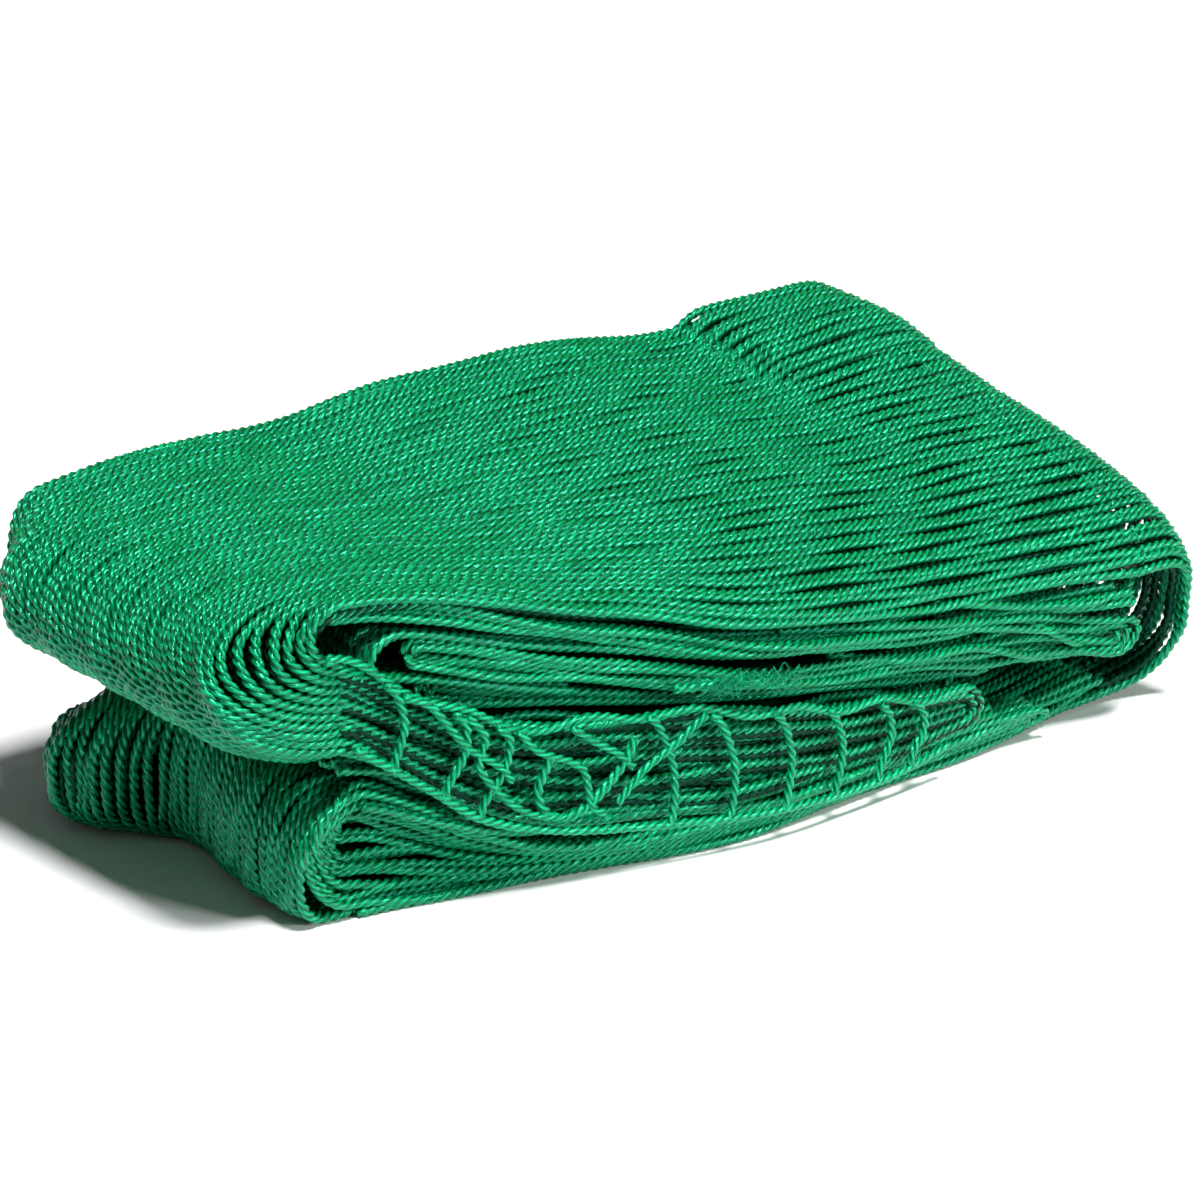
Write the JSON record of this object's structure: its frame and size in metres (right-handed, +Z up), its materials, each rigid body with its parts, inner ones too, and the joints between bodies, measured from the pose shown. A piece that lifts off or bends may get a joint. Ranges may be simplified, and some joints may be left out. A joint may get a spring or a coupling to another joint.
{
  "type": "tennis net",
  "caption": "Spare netting for a tennis net: green twisted twine mesh, gathered shut and folded to and fro into a flat bundle with a roll at the left and a loose loop at the right.",
  "frame": {"origin": "under the middle of the bundle, on the surface that it lies on", "axes": "+X along the twines, from the rolled end to the loose looped end; +Y from the selvedge side to the back; +Z up"},
  "size_m": [0.3378, 0.1724, 0.1014],
  "materials": {
    "net_twine": "laid polyethylene twine, satin, with fine bright filaments",
    "selvedge_twine": "the same laid polyethylene twine, as single twines of the selvedge"
  },
  "bodies": {
    "lower_packet": {"bottom_lap": "net_twine", "lower_inner_lap": "net_twine", "lower_inner_fold": "net_twine", "lower_front_roll": "net_twine", "lower_front_roll_core": "net_twine", "lower_rear_roll": "net_twine", "lower_rear_roll_core": "net_twine", "right_end_lower": "net_twine"},
    "upper_packet": {"middle_lap": "net_twine", "middle_right_fold": "net_twine", "inner_lap_lower": "net_twine", "inner_lower_fold": "net_twine", "inner_lap_upper": "net_twine", "inner_left_fold": "net_twine", "inner_right_tongue": "net_twine", "top_lap_inner": "net_twine", "top_lap_outer": "net_twine", "back_flap": "net_twine", "upper_roll_outer": "net_twine", "upper_roll_inner": "net_twine", "right_end_upper": "net_twine", "upper_selvedge_cord": "selvedge_twine", "lower_selvedge_cord": "selvedge_twine", "edge_mesh_bar_1": "selvedge_twine", "edge_mesh_bar_2": "selvedge_twine", "edge_mesh_bar_3": "selvedge_twine", "edge_mesh_bar_4": "selvedge_twine", "edge_mesh_bar_5": "selvedge_twine", "edge_mesh_bar_6": "selvedge_twine", "edge_mesh_bar_7": "selvedge_twine", "edge_mesh_bar_8": "selvedge_twine", "edge_mesh_bar_9": "selvedge_twine", "frayed_twine_end": "selvedge_twine"},
    "loose_loop": {"loose_loop": "selvedge_twine"}
  },
  "joints": [
    {"name": "open_bundle", "type": "hinge", "parent": "lower_packet", "child": "upper_packet", "pos_m": [0.17, 0, 0.03], "axis": [0, 1, 0], "range_deg": [0, 50]},
    {"name": "swing_loose_loop", "type": "hinge", "parent": "upper_packet", "child": "loose_loop", "pos_m": [-0.0625, -0.0748, 0.0415], "axis": [-0.9818, 0.19, 0], "range_deg": [0, 70]}
  ]
}
